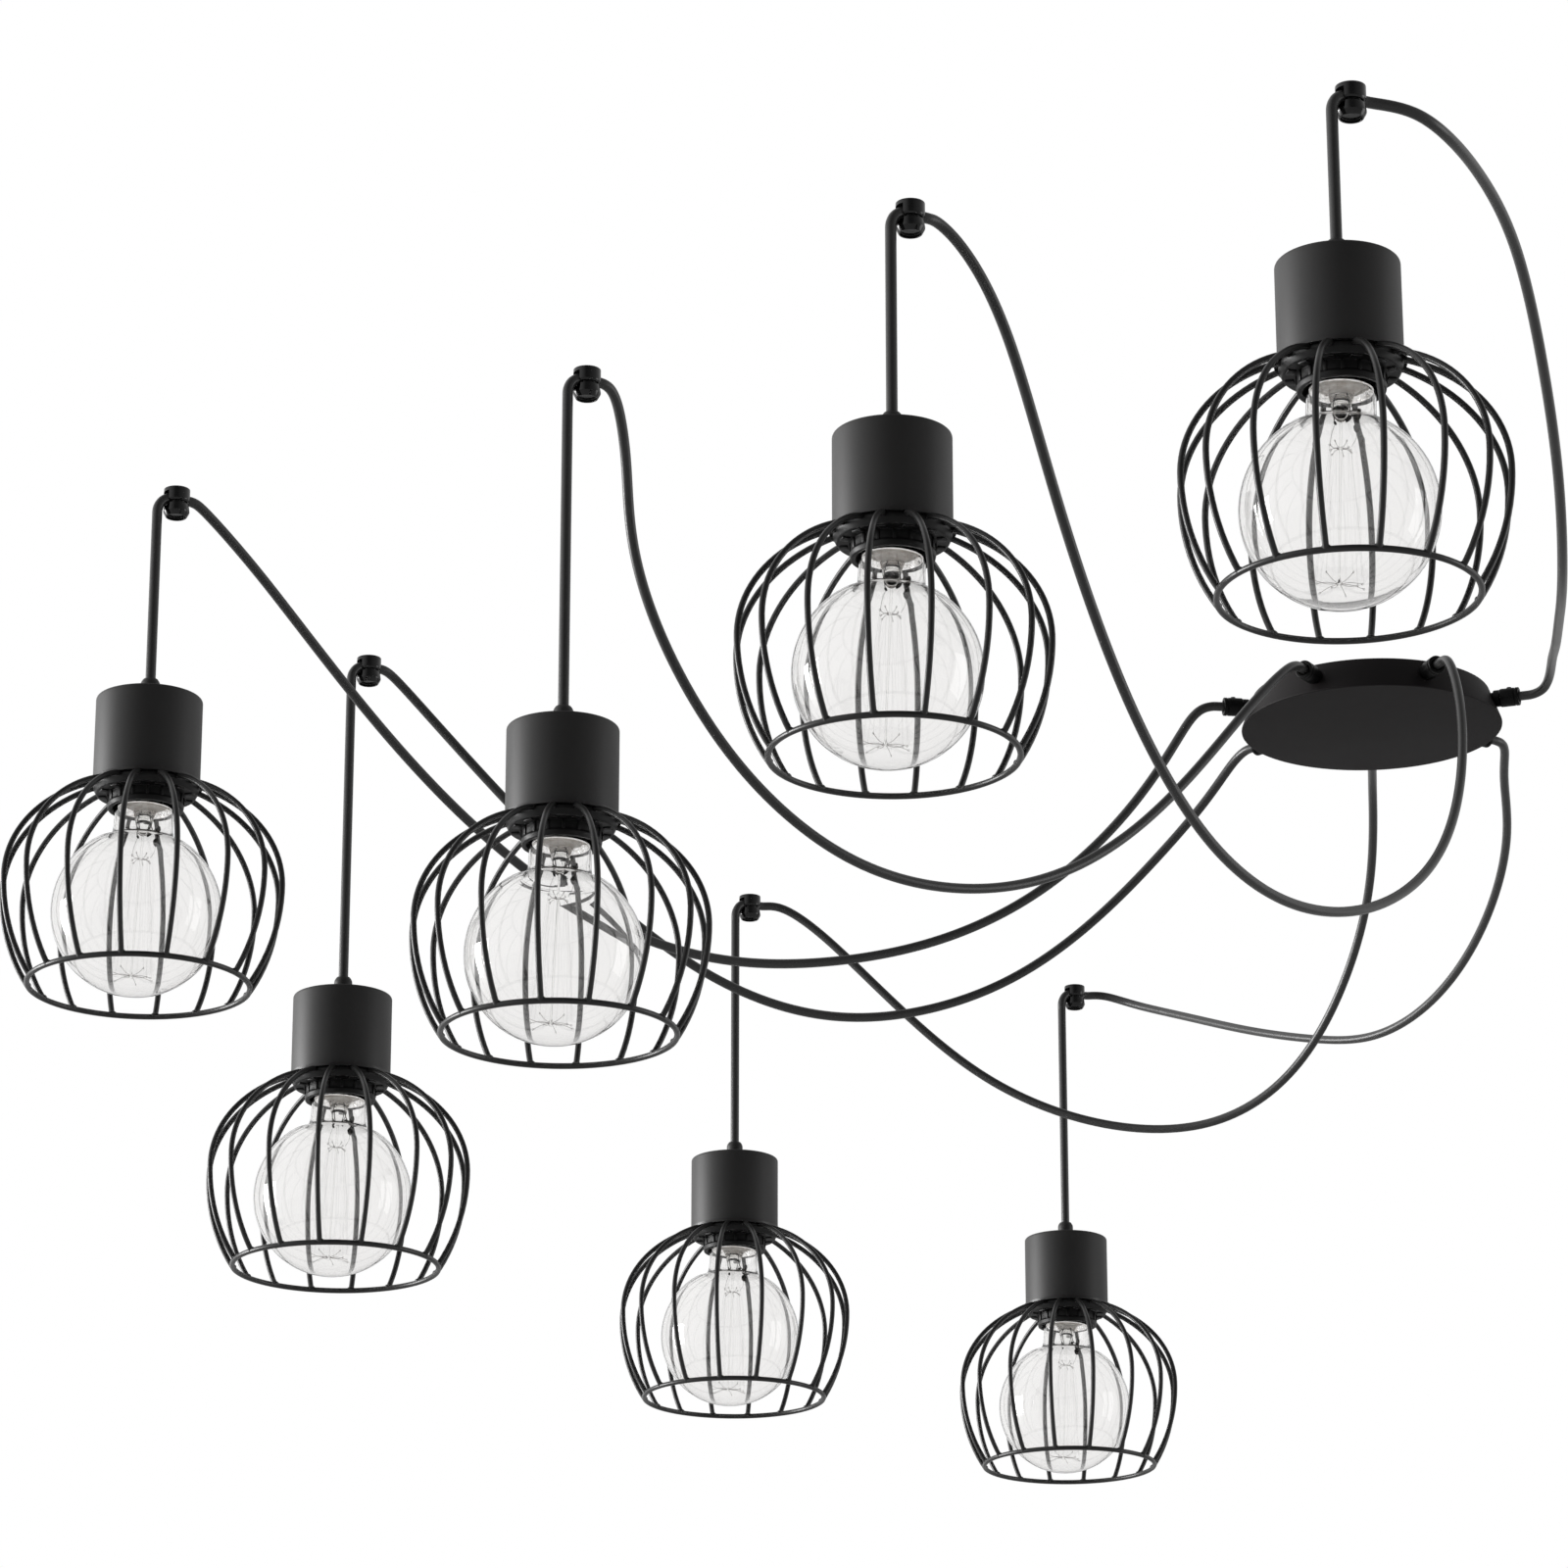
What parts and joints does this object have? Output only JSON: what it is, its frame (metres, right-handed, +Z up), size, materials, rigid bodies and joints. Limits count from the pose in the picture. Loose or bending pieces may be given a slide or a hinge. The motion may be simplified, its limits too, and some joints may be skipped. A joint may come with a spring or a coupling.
{
  "type": "pendant chandelier",
  "caption": "Ceiling chandelier: a round canopy sends cables to ceiling hooks, and wire-cage pendants with globe bulbs hang from them",
  "frame": {"origin": "middle of the mounting strip's ceiling face, which lies in the ceiling plane z = 0", "axes": "+Z up to the ceiling, -Y towards the viewer in the picture, +X to the right"},
  "size_m": [0.9184, 1.6786, 0.3944],
  "materials": {
    "metal_black": "matte black powder coat",
    "plastic_black": "black moulded plastic",
    "plastic_gloss": "black glossy plastic",
    "cable": "dark grey cable sheath",
    "zinc": "zinc-plated steel",
    "brass": "plain brass",
    "terminal": "off-white plastic",
    "glass": "clear glass"
  },
  "bodies": {
    "ceiling": {"canopy_cover": "metal_black", "mounting_bracket": "zinc", "terminal_block": "terminal", "earth_screw": "brass", "cable_grip_1": "plastic_black", "ceiling_hook_1": "plastic_gloss", "cable_swag_1": "cable", "cable_grip_2": "plastic_black", "ceiling_hook_2": "plastic_gloss", "cable_swag_2": "cable", "cable_grip_3": "plastic_black", "ceiling_hook_3": "plastic_gloss", "cable_swag_3": "cable", "cable_grip_4": "plastic_black", "ceiling_hook_4": "plastic_gloss", "cable_swag_4": "cable", "cable_grip_5": "plastic_black", "ceiling_hook_5": "plastic_gloss", "cable_swag_5": "cable", "cable_grip_6": "plastic_black", "ceiling_hook_6": "plastic_gloss", "cable_swag_6": "cable", "cable_grip_7": "plastic_black", "ceiling_hook_7": "plastic_gloss", "cable_swag_7": "cable"},
    "drop_1": {"cable_drop_1": "cable"},
    "pendant_1": {"holder_cover_1": "metal_black", "lamp_holder_1": "plastic_black", "wire_cage_1": "metal_black"},
    "bulb_1": {"globe_bulb_1": "glass"},
    "drop_2": {"cable_drop_2": "cable"},
    "pendant_2": {"holder_cover_2": "metal_black", "lamp_holder_2": "plastic_black", "wire_cage_2": "metal_black"},
    "bulb_2": {"globe_bulb_2": "glass"},
    "drop_3": {"cable_drop_3": "cable"},
    "pendant_3": {"holder_cover_3": "metal_black", "lamp_holder_3": "plastic_black", "wire_cage_3": "metal_black"},
    "bulb_3": {"globe_bulb_3": "glass"},
    "drop_4": {"cable_drop_4": "cable"},
    "pendant_4": {"holder_cover_4": "metal_black", "lamp_holder_4": "plastic_black", "wire_cage_4": "metal_black"},
    "bulb_4": {"globe_bulb_4": "glass"},
    "drop_5": {"cable_drop_5": "cable"},
    "pendant_5": {"holder_cover_5": "metal_black", "lamp_holder_5": "plastic_black", "wire_cage_5": "metal_black"},
    "bulb_5": {"globe_bulb_5": "glass"},
    "drop_6": {"cable_drop_6": "cable"},
    "pendant_6": {"holder_cover_6": "metal_black", "lamp_holder_6": "plastic_black", "wire_cage_6": "metal_black"},
    "bulb_6": {"globe_bulb_6": "glass"},
    "drop_7": {"cable_drop_7": "cable"},
    "pendant_7": {"holder_cover_7": "metal_black", "lamp_holder_7": "plastic_black", "wire_cage_7": "metal_black"},
    "bulb_7": {"globe_bulb_7": "glass"}
  },
  "joints": [
    {"name": "swing_1", "type": "hinge", "parent": "ceiling", "child": "drop_1", "pos_m": [-0.10944, -0.88582, -0.0196], "axis": [1, 0, 0], "range_deg": [-12, 12]},
    {"name": "swivel_1", "type": "hinge", "parent": "drop_1", "child": "pendant_1", "pos_m": [-0.10944, -0.88582, -0.14603], "axis": [0, 0, 1], "range_deg": [-90, 90]},
    {"name": "bulb_screw_1", "type": "hinge", "parent": "pendant_1", "child": "bulb_1", "pos_m": [-0.10944, -0.88582, -0.14603], "axis": [0, 0, -1], "range_deg": [0, 360]},
    {"name": "swing_2", "type": "hinge", "parent": "ceiling", "child": "drop_2", "pos_m": [-0.31864, -0.75221, -0.0196], "axis": [1, 0, 0], "range_deg": [-12, 12]},
    {"name": "swivel_2", "type": "hinge", "parent": "drop_2", "child": "pendant_2", "pos_m": [-0.31864, -0.75221, -0.17902], "axis": [0, 0, 1], "range_deg": [-90, 90]},
    {"name": "bulb_screw_2", "type": "hinge", "parent": "pendant_2", "child": "bulb_2", "pos_m": [-0.31864, -0.75221, -0.17902], "axis": [0, 0, -1], "range_deg": [0, 360]},
    {"name": "swing_3", "type": "hinge", "parent": "ceiling", "child": "drop_3", "pos_m": [-0.48917, -0.53774, -0.0196], "axis": [1, 0, 0], "range_deg": [-12, 12]},
    {"name": "swivel_3", "type": "hinge", "parent": "drop_3", "child": "pendant_3", "pos_m": [-0.48917, -0.53774, -0.25784], "axis": [0, 0, 1], "range_deg": [-90, 90]},
    {"name": "bulb_screw_3", "type": "hinge", "parent": "pendant_3", "child": "bulb_3", "pos_m": [-0.48917, -0.53774, -0.25784], "axis": [0, 0, -1], "range_deg": [0, 360]},
    {"name": "swing_4", "type": "hinge", "parent": "ceiling", "child": "drop_4", "pos_m": [-0.73001, -0.36282, -0.0196], "axis": [1, 0, 0], "range_deg": [-12, 12]},
    {"name": "swivel_4", "type": "hinge", "parent": "drop_4", "child": "pendant_4", "pos_m": [-0.73001, -0.36282, -0.17968], "axis": [0, 0, 1], "range_deg": [-90, 90]},
    {"name": "bulb_screw_4", "type": "hinge", "parent": "pendant_4", "child": "bulb_4", "pos_m": [-0.73001, -0.36282, -0.17968], "axis": [0, 0, -1], "range_deg": [0, 360]},
    {"name": "swing_5", "type": "hinge", "parent": "ceiling", "child": "drop_5", "pos_m": [-0.64036, -0.08066, -0.0196], "axis": [1, 0, 0], "range_deg": [-12, 12]},
    {"name": "swivel_5", "type": "hinge", "parent": "drop_5", "child": "pendant_5", "pos_m": [-0.64036, -0.08066, -0.2709], "axis": [0, 0, 1], "range_deg": [-90, 90]},
    {"name": "bulb_screw_5", "type": "hinge", "parent": "pendant_5", "child": "bulb_5", "pos_m": [-0.64036, -0.08066, -0.2709], "axis": [0, 0, -1], "range_deg": [0, 360]},
    {"name": "swing_6", "type": "hinge", "parent": "ceiling", "child": "drop_6", "pos_m": [-0.40654, 0.41158, -0.0196], "axis": [1, 0, 0], "range_deg": [-12, 12]},
    {"name": "swivel_6", "type": "hinge", "parent": "drop_6", "child": "pendant_6", "pos_m": [-0.40654, 0.41158, -0.24322], "axis": [0, 0, 1], "range_deg": [-90, 90]},
    {"name": "bulb_screw_6", "type": "hinge", "parent": "pendant_6", "child": "bulb_6", "pos_m": [-0.40654, 0.41158, -0.24322], "axis": [0, 0, -1], "range_deg": [0, 360]},
    {"name": "swing_7", "type": "hinge", "parent": "ceiling", "child": "drop_7", "pos_m": [-0.1657, 0.63485, -0.0196], "axis": [1, 0, 0], "range_deg": [-12, 12]},
    {"name": "swivel_7", "type": "hinge", "parent": "drop_7", "child": "pendant_7", "pos_m": [-0.1657, 0.63485, -0.24455], "axis": [0, 0, 1], "range_deg": [-90, 90]},
    {"name": "bulb_screw_7", "type": "hinge", "parent": "pendant_7", "child": "bulb_7", "pos_m": [-0.1657, 0.63485, -0.24455], "axis": [0, 0, -1], "range_deg": [0, 360]}
  ]
}
